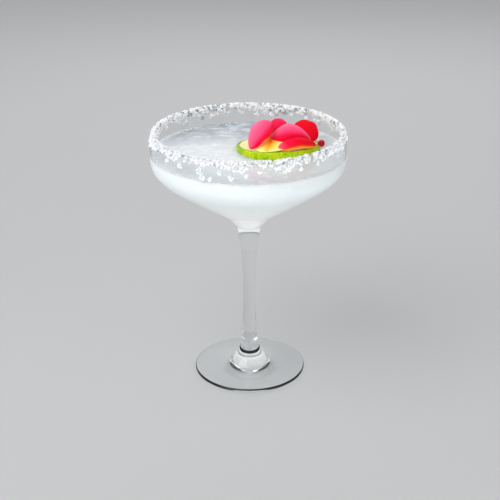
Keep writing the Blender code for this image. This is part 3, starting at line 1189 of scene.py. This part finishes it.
@dataclass
class SaltCrust:
    """The crust of salt over the rim: clumps of broken crystals, crowded near the lip.

    A hanging lump is its direction in degrees, its distance from the lip in millimetres, which
    is below 0 on the inside, and its radius in millimetres.
    """

    glass: Coupe
    seed: int = 21
    tries: int = 4600
    grains: int = 9
    inside: float = 9.0 * MM
    outside: float = 11.0 * MM
    inner_reach: float = 3.4 * MM
    inner_side: float = 1.8 * MM
    inner_lobes: float = 2.4 * MM
    outer_reach: float = 4.0 * MM
    outer_lobes: float = 2.3 * MM
    least_reach: float = 1.2 * MM
    fine: float = 0.64 * MM
    coarse: float = 1.05 * MM
    coarse_share: float = 0.12
    heap: float = 0.45
    stand_off: float = 0.22
    worn_chip: float = 0.24
    broken_chip: float = 0.36
    top_limit: float = 147.8 * MM
    hanging: tuple[Place, ...] = (
        (135.0, -7.6, 1.5), (133.0, -6.2, 1.1), (114.0, -6.6, 1.5), (111.0, -5.6, 1.8),
        (106.0, -4.6, 1.2), (96.0, -4.6, 1.4), (94.0, -5.8, 0.9), (84.0, -6.8, 1.3),
        (79.0, -5.0, 1.6), (75.0, -6.6, 1.3), (61.0, -5.2, 1.2), (50.0, -5.6, 1.0),
        (39.0, -5.0, 1.3), (24.0, -6.0, 1.2), (165.0, -6.4, 1.9), (176.0, -7.4, 1.7),
        (187.0, -6.6, 1.8), (152.0, -6.0, 1.4), (-115.8, 9.4, 1.2), (-116.8, 7.6, 1.3),
        (-118.0, 6.2, 1.3), (-111.4, 9.9, 1.0), (-99.2, 8.6, 0.9), (-100.2, 7.4, 0.6),
        (-106.0, 5.8, 1.0), (-91.3, 7.2, 0.8), (-84.0, 5.0, 0.7), (-131.0, 6.2, 1.2),
        (-142.0, 5.6, 1.1), (-60.0, 6.0, 0.8), (-48.0, 5.4, 0.9), (-30.0, 6.2, 1.0),
        (150.0, 6.4, 1.2), (120.0, 7.4, 1.2), (72.0, 6.8, 1.1), (40.0, 7.2, 1.1), (10.0, 6.6, 1.2),
    )

    def density(self, angle: np.ndarray, along: np.ndarray) -> np.ndarray:
        """Share of the wall that holds clumps.

        It is full at the lip and ends in ragged lobes, with small bare spots in it. Inside,
        the lobes reach further down at the glass's left and right and less far at the front.

        Args:
            angle: direction round the rim.
            along: distance from the lip, below 0 on the inside.

        Returns:
            The share at each place.
        """
        x, y = np.cos(angle) * self.glass.rim_radius, np.sin(angle) * self.glass.rim_radius
        front = soft_step(-np.sin(angle), 0.2, 0.9)
        inner = self.inner_reach + self.inner_side * np.cos(angle) ** 2
        inner = inner + self.inner_lobes * ripples(x, y, self.seed + 5, 15 * MM, 3)
        inner = inner * (1 - 0.55 * front)
        outer = self.outer_reach + self.outer_lobes * ripples(x, y, self.seed, 19 * MM, 3)
        reach = np.maximum(np.where(along < 0, inner, outer), self.least_reach)
        body = 1 - soft_step(np.abs(along) / reach, 0.75, 1.1)
        bare = ripples(x + along, y - along * 1.7, self.seed + 1, 5.5 * MM, 2)
        return body * soft_step(bare, -0.6, 0.15)

    def clumps(self, draw: np.random.Generator) -> np.ndarray:
        """Direction, distance from the lip and radius of every clump, one a row.

        Args:
            draw: where the places come from.

        Returns:
            The clumps.
        """
        angle = draw.uniform(0, 2 * math.pi, self.tries)
        along = draw.uniform(-self.inside, self.outside, self.tries)
        keep = draw.uniform(0, 1, self.tries) < self.density(angle, along)
        crowd = np.stack([angle, along, draw.uniform(0.5, 1.25, self.tries) * MM], axis=1)[keep]
        hanging = np.array(self.hanging) * (math.pi / 180, MM, MM)
        return np.vstack([crowd, hanging, hanging])

    def build(self) -> None:
        """The crust in two pieces, fine and coarse.

        A clump's crystals lie at random over its disc, and it is highest in its middle.
        """
        draw = np.random.default_rng(self.seed)
        path, normal = self.glass.rim_path(self.inside, self.outside, 400)
        clump = np.repeat(self.clumps(draw), self.grains, axis=0)
        count = len(clump)
        spread = np.sqrt(draw.uniform(0, 1, count))
        turn = draw.uniform(0, 2 * math.pi, count)
        angle = clump[:, 0] + spread * clump[:, 2] * np.cos(turn) / self.glass.rim_radius
        along = clump[:, 1] + spread * clump[:, 2] * np.sin(turn)
        big = draw.uniform(0, 1, count) < self.coarse_share
        size = self.fine * draw.uniform(0.6, 1.4, count)
        size = np.where(big, self.coarse * draw.uniform(0.75, 1.15, count), size)
        layer = draw.uniform(0, 1, count) * (1 - spread**2) * self.heap * clump[:, 2]
        share = (along + self.inside) / (self.inside + self.outside)
        at = np.clip(share, 0, 1) * (len(path) - 1)
        rows = np.arange(len(path))
        out = read_line(normal, rows, at) * (size * self.stand_off + layer)[:, None]
        spot = read_line(path, rows, at) + out
        spot[:, 1] = np.minimum(spot[:, 1], self.top_limit - size * 0.6)
        centres = round_axis(spot[:, 0], angle, spot[:, 1])
        lump = chipped_cube(tuple(range(8)), self.worn_chip)
        splinter = chipped_cube((0, 6), self.broken_chip)
        material = SaltCrystal().material()
        for name, kind, shape in (("salt_fine", ~big, splinter), ("salt_coarse", big, lump)):
            salt = scatter(name, centres[kind], size[kind], shape, draw)
            settle(salt, material, "clear_glass")


@dataclass
class EdgeFroth:
    """Bubbles and ice slivers where the drink meets the wall and the slice."""

    glass: Coupe
    lime: LimeSlice
    level: float = 134.8 * MM
    seed: int = 4
    wall_count: int = 520
    slice_count: int = 90
    band: float = 1.8 * MM
    clearance: float = 0.1 * MM
    creep: float = 0.6 * MM
    creep_width: float = 1.1 * MM

    def build(self) -> None:
        """Small balls in clumps round the drink's edge, most of them at the back."""
        draw = np.random.default_rng(self.seed)
        wall = self.glass.inner()[: self.glass.wall_points]
        reach = float(np.interp(-self.level, -wall[:, 1], wall[:, 0]))
        angle = draw.uniform(0, 2 * math.pi, self.wall_count * 4)
        clump = ripples(reach * np.cos(angle), reach * np.sin(angle), self.seed, 22 * MM, 3)
        back = 0.3 + 0.7 * soft_step(np.sin(angle), -0.3, 0.7)
        angle = angle[draw.uniform(-0.4, 1.2, len(angle)) < clump * back][: self.wall_count]
        size = draw.uniform(0.3, 0.8, len(angle)) * MM
        inward = draw.uniform(0, 1, len(angle)) ** 1.9 * self.band
        radius = reach - self.clearance - size * 0.45 - inward
        height = self.level + self.creep * np.exp(-inward / self.creep_width)
        round_wall = round_axis(radius, angle, height)
        turn = draw.uniform(0, 2 * math.pi, self.slice_count)
        small = draw.uniform(0.25, 0.6, self.slice_count) * MM
        grow = 1 + (small / 2 + draw.uniform(0, 0.7, self.slice_count) * MM) / self.lime.radius
        x = self.lime.top[0] + self.lime.radius * grow * np.cos(turn)
        y = self.lime.top[1] + self.lime.radius * self.lime.depth_ratio * grow * np.sin(turn)
        round_slice = np.stack([x, y, np.full_like(x, self.level + self.creep / 2)], axis=1)
        centres = np.vstack([round_wall, round_slice])
        sizes = np.concatenate([size, small])
        froth = scatter("edge_froth", centres, sizes, small_ball(), draw, 0.2)
        froth.data.shade_smooth()
        settle(froth, Froth().material(), "cloudy_drink")


# ---------------------------------------------------------------- the blossom


@dataclass
class Petal:
    """One petal: a base, a round end, and a face that domes towards `facing`.

    Places and sizes are in millimetres. The cup is the dome's height and the bend that of
    the bow along it, the claw is the base's share of the width, the wave is the ruffle's
    height, the sway moves the middle sideways, and the lean sets the sides apart along it.
    """

    name: str
    node: str
    base: Place
    tip: Place
    facing: Place
    width: float
    cup: float
    bend: float
    claw: float
    wave: float
    phase: float
    blush_and_shade: PetalBlushAndShade
    slot: str = "petal_pink"
    sway: float = 0.0
    lean: float = 0.0
    thickness: float = 0.46
    vein_height: float = 0.03
    columns: int = 49
    rows: int = 61

    def surface(self) -> tuple[np.ndarray, np.ndarray, np.ndarray]:
        """The petal's middle surface.

        Along it runs a reach that eases in and out, and the width follows a half turn of a
        sine, narrowed near the base. The whole sways sideways in its middle, and its two sides
        lean apart along it. The face is lifted by a dome across, a bow along, a ripple that
        grows towards its edges, and fine lengthwise veins.

        Returns:
            The points, then the across (-1 to 1) and along (0 to 1) of each.
        """
        base, tip = np.array(self.base) * MM, np.array(self.tip) * MM
        axis = tip - base
        side = np.cross(axis, self.facing)
        side /= np.linalg.norm(side)
        out = np.cross(side, axis)
        out /= np.linalg.norm(out)
        u, v = np.meshgrid(np.linspace(-1, 1, self.columns), np.linspace(0, 1, self.rows))
        turn = math.pi * (0.01 + 0.98 * v)
        reach = 0.5 - 0.5 * np.cos(turn)
        narrow = self.claw + (1 - self.claw) * np.minimum(1, reach * 1.7)
        half = self.width * MM / 2 * np.sin(turn) ** 0.8 * narrow
        half = half * (1 + 0.025 * np.sin(9 * reach + self.phase) * np.abs(u))
        shift = half * u + self.sway * MM * np.sin(math.pi * reach)
        dome = self.cup * MM * (1 - u**2) * np.sin(turn)
        bow = self.bend * MM * np.sin(math.pi * reach)
        ruffle = np.sin(5 * reach * math.pi + self.phase + u) + 0.5 * np.sin(11 * reach + 2 * u)
        ripple = self.wave * MM * u**2 * ruffle
        veins = self.vein_height * MM * np.sin(u * 38 + 2 * np.sin(v * 5)) * np.sin(turn)
        lift = dome + bow + ripple + veins
        reach = reach + self.lean * MM / np.linalg.norm(axis) * u * np.sin(turn)
        points = base + reach[..., None] * axis + shift[..., None] * side + lift[..., None] * out
        return points, u, v

    def build(self) -> None:
        """The petal as one closed skin, with a front and a back that meet in a thin edge.

        The front and the back lie at half the thickness from the middle surface along its
        normal, and the thickness falls off as the root of 1 - across^2.
        """
        points, u, v = self.surface()
        normal = unit(np.cross(np.gradient(points, axis=1), np.gradient(points, axis=0)))
        half = self.thickness * MM / 2 * (0.15 + 0.85 * np.sqrt(1 - u**2 + 1e-9))
        half = (half * np.sin(math.pi * (0.02 + 0.96 * v)) ** 0.5)[..., None]
        ring = np.hstack([points + normal * half, (points - normal * half)[:, ::-1]])
        ring = np.vstack([ring[:1] * 0 + points[0].mean(axis=0), ring])
        ring = np.vstack([ring, ring[:1] * 0 + points[-1].mean(axis=0)])
        wide = np.hstack([u, u[:, ::-1]])
        wide = np.vstack([wide[:1], wide, wide[-1:]]) / 2 + 0.5
        far = np.hstack([v, v])
        far = np.vstack([far[:1], far, far[-1:]])
        rim = np.maximum(np.abs(2 * wide - 1), np.abs(2 * far - 1) ** 3)
        marks = {"across": wide, "along": far, "edge": soft_step(rim, 0.86, 1.0)}
        petal = Skin(self.name, ring, marks=marks).build()
        settle(petal, self.blush_and_shade.material(), self.slot, self.node)


RED = (0.72, 0.0006, 0.010)
CRIMSON = (0.86, 0.002, 0.05)
ROSE = (1.0, 0.065, 0.185)
PINK = (1.0, 0.17, 0.31)


def blossom() -> list[Petal]:
    """The petals, each laid where the flower shows it, with its own colours, partly painted light
    and shade.

    Returns:
        The petals.
    """
    # painted light and shade: each run of stops goes from the deep red of folds and edges in shade
    # to the pink of faces in the light, over the petal's own colours
    left = ((0.0, (0.50, 0.001, 0.01)), (0.12, RED), (0.22, CRIMSON), (0.40, ROSE), (1.0, PINK))
    back = ((0.0, RED), (0.45, (0.90, 0.004, 0.07)), (1.0, ROSE))
    middle = ((0.0, (0.80, 0.002, 0.03)), (0.3, CRIMSON), (0.55, ROSE), (1.0, PINK))
    front = ((0.0, RED), (0.5, (0.82, 0.001, 0.02)), (0.7, CRIMSON), (0.95, (1.0, 0.13, 0.18)))
    right = ((0.0, (0.62, 0.0005, 0.008)), (0.5, (0.80, 0.0005, 0.014)), (1.0, (0.88, 0.002, 0.03)))
    gold = (
        (0.0, (0.75, 0.008, 0.006)), (0.2, (0.85, 0.13, 0.003)), (0.42, (1.0, 0.42, 0.02)),
        (0.64, (1.0, 0.64, 0.07)), (0.95, (1.0, 0.86, 0.26)),
    )
    return [
        Petal("rose_petal_left", "petal_left", (1.0, -9.4, 139.7), (12.2, 1.3, 151.9),
              (-0.52, -0.79, 0.98), width=14.4, cup=3.3, bend=0.8, claw=0.52, wave=0.2, phase=0.4,
              sway=-0.9, lean=-0.9,
              blush_and_shade=PetalBlushAndShade("blush_left", left, across=-1.1, along=-0.05, offset=1.22,
                               pale_edge=0.12)),
        Petal("rose_petal_back", "petal_back", (16.0, 5.4, 139.1), (17.2, 10.4, 150.7),
              (0.0, -1.0, 0.35), width=10.8, cup=2.2, bend=1.1, claw=0.55, wave=0.3, phase=1.1,
              blush_and_shade=PetalBlushAndShade("blush_back", back, along=0.5, offset=0.2)),
        Petal("rose_petal_middle", "petal_middle", (34.4, 0.3, 140.6), (12.3, -1.8, 143.4),
              (-0.13, -0.54, 0.62), width=13.3, cup=3.9, bend=3.4, claw=0.53, wave=0.2, phase=2.0,
              sway=1.8, lean=-0.8,
              blush_and_shade=PetalBlushAndShade("blush_middle", middle, across=1.15, along=0.15, offset=-0.12)),
        Petal("rose_petal_front", "petal_front", (36.6, -6.6, 141.0), (16.2, -12.9, 140.8),
              (-0.2, -0.57, 0.74), width=8.1, cup=2.0, bend=2.6, claw=1.0, wave=0.2, phase=0.2,
              sway=0.4, lean=0.1,
              blush_and_shade=PetalBlushAndShade("blush_front", front, along=1.0, hem=(0.3, 0.04))),
        Petal("rose_petal_right", "petal_right", (35.7, 2.5, 139.7), (28.5, 11.0, 149.1),
              (0.15, -0.72, 0.78), width=14.1, cup=1.3, bend=1.3, claw=0.92, wave=0.25, phase=2.6,
              sway=-0.6, lean=-0.4,
              blush_and_shade=PetalBlushAndShade("blush_right", right, across=-0.5, along=0.3, offset=0.6,
                               pale_edge=0.12)),
        Petal("gold_throat", "petal_throat", (13.8, 0.1, 144.6), (10.8, -16.0, 140.2),
              (-0.22, -0.62, 1.34), width=18.3, cup=0.9, bend=-1.6, claw=0.68, wave=0.2, phase=0.9,
              sway=-1.0, lean=0.3, slot="throat_orange",
              blush_and_shade=PetalBlushAndShade("blush_throat", gold, along=0.75, middle=2.3, centre=0.6,
                               offset=-0.1, pale_edge=0.0)),
    ]


@dataclass
class Bud:
    """A small bud on a beaded neck, lying at the slice's right end.

    The outline is its section as radius and height in millimetres, from the bead down.
    """

    place: Place = (42.0 * MM, -1.4 * MM, 140.15 * MM)
    turn: float = math.radians(-94.0)
    groove_depth: float = 0.05
    steps: int = 48
    outline: tuple[tuple[float, float], ...] = (
        (0.0, 5.4), (0.55, 5.2), (0.75, 4.7), (0.5, 4.1), (0.8, 3.6), (1.6, 2.8),
        (1.95, 1.8), (1.65, 0.75), (0.9, 0.12), (0.0, 0.0),
    )

    def build(self) -> None:
        """The bud as one turned skin.

        Its radius is narrowed by a cosine of five times the angle, for shallow lengthwise
        grooves that end at the neck.
        """
        profile = smooth_curve(np.array(self.outline) * MM, 6)
        profile[:, 0] = np.maximum(profile[:, 0], 0)
        points = turned(profile, self.steps)
        angle = np.arctan2(points[..., 1], points[..., 0])
        below_neck = soft_step(-points[..., 2], -3.6 * MM, -3.0 * MM)
        bead = soft_step(points[..., 2], 3.8 * MM, 4.3 * MM)
        points[..., :2] *= (1 - self.groove_depth * np.cos(5 * angle) * below_neck)[..., None]
        turn = Matrix.Rotation(self.turn, 4, "Y")
        points = placed(points, Matrix.Translation(self.place) @ turn)
        bud = Skin("red_bud", points, marks={"bead": bead}).build()
        settle(bud, BudSkin().material(), "bud_red", "bud")


# ---------------------------------------------------------------- studio


@dataclass
class Studio:
    """A pale floor, soft lights and the camera, whose focal length is given in pixels."""

    camera_back: float = 587.6 * MM
    camera_height: float = 335.6 * MM
    pitch: float = 0.4167
    yaw: float = -0.0009
    roll: float = -0.006
    sensor: float = 36.0
    focal_pixels: float = 1119.0
    picture_pixels: float = 500.0
    floor_radius: float = 4.0
    floor_height: float = -0.00005
    floor_colour: Colour = (0.50, 0.50, 0.505)
    zenith: Colour = (0.55, 0.555, 0.56)
    horizon: Colour = (0.95, 0.96, 0.97)
    flags: Colour = (0.10, 0.10, 0.11)

    def floor(self) -> None:
        """A wide round floor at the foot's level."""
        radius = np.linspace(0, self.floor_radius, 3)
        profile = np.stack([radius, np.full_like(radius, self.floor_height)], axis=1)
        floor = Skin("floor", turned(profile, 96)).build()
        graph = Graph("pale_floor")
        tone = graph.noise(graph.place(), 3.0, 2.0)
        darker = tuple(part * 0.97 for part in self.floor_colour)
        colour = graph.blend(tone, self.floor_colour, darker)
        floor.data.materials.append(graph.coated(Base_Color=colour, Roughness=0.6))

    def lamp(
        self, name: str, place: Place, size: tuple[float, float], power: float,
        mirrored: bool = True, towards: Place = (0.0, 0.0, 0.12),
    ) -> None:
        """A soft box, aimed at the bowl unless told otherwise.

        Args:
            name: the light's name.
            place: where it hangs.
            size: its width and height.
            power: watts.
            mirrored: whether glossy surfaces show it.
            towards: the point that it faces.
        """
        light = bpy.data.lights.new(name, "AREA")
        light.shape = "RECTANGLE"
        light.size, light.size_y = size
        light.energy = power
        item = bpy.data.objects.new(name, light)
        item.location = place
        aim = Vector(towards) - Vector(place)
        item.rotation_euler = aim.to_track_quat("-Z", "Y").to_euler()
        item.visible_glossy = mirrored
        item.visible_transmission = mirrored
        item.visible_camera = False
        bpy.context.scene.collection.objects.link(item)

    def sky_light(self) -> None:
        """A pale tent, brightest low down, with a dark flag at each side to edge the glass."""
        world = bpy.data.worlds.new("studio")
        bpy.context.scene.world = world
        world.use_nodes = True
        graph = Graph(tree=world.node_tree)
        way = graph.node("ShaderNodeTexCoord", output="Generated")
        tent = graph.blend(graph.rise(graph.part(way, "Z"), 0.05, 0.85), self.horizon, self.zenith)
        side = graph.math("ABSOLUTE", graph.part(way, "X"))
        flag = graph.rise(side, 0.80, 0.93) * graph.rise(side, 1.0, 0.97)
        colour = graph.blend(flag * 0.8, tent, self.flags)
        air = graph.node("ShaderNodeBackground", inputs={"Color": colour, "Strength": 1.0})
        graph.node("ShaderNodeOutputWorld", inputs={"Surface": air}, output=None)

    def camera(self) -> None:
        """The photograph's camera, fitted to the glass's ellipses."""
        lens = bpy.data.cameras.new("camera")
        lens.sensor_width = self.sensor
        lens.lens = self.sensor * self.focal_pixels / self.picture_pixels
        lens.clip_start = 0.01
        item = bpy.data.objects.new("camera", lens)
        turn = (
            Matrix.Rotation(self.yaw, 4, "Z")
            @ Matrix.Rotation(math.pi / 2 - self.pitch, 4, "X")
            @ Matrix.Rotation(self.roll, 4, "Z")
        )
        item.matrix_world = Matrix.Translation((0, -self.camera_back, self.camera_height)) @ turn
        bpy.context.scene.collection.objects.link(item)
        bpy.context.scene.camera = item

    def build(self) -> None:
        """Set up the whole studio."""
        self.floor()
        self.sky_light()
        self.lamp("key", (-0.5, -0.4, 0.85), (0.8, 0.8), 5.4)
        self.lamp("fill", (0.75, -0.6, 0.4), (0.3, 0.5), 1.4, False)
        self.lamp("front", (0.1, -0.9, 0.5), (0.8, 0.3), 1.1, False)
        low_front = (0.0, -0.12, 0.003)
        self.lamp("reflector", low_front, (0.6, 0.16), 0.85, False, (0.0, -0.12, 1.0))
        self.lamp("back", (0.1, 0.8, 0.6), (0.8, 0.4), 2.0, False)
        self.camera()
        view = bpy.context.scene.view_settings
        view.view_transform = "Standard"
        view.look = "None"


def main() -> None:
    """Build the studio and every piece, in order."""
    logging.basicConfig(level=logging.INFO, format="%(name)s %(message)s")
    Studio().build()
    glass = Coupe()
    lime = LimeSlice()
    glass.build()
    Drink(glass, lime).build()
    lime.build()
    SaltCrust(glass).build()
    EdgeFroth(glass, lime).build()
    for petal in blossom():
        petal.build()
    Bud().build()


if __name__ == "__main__":
    main()
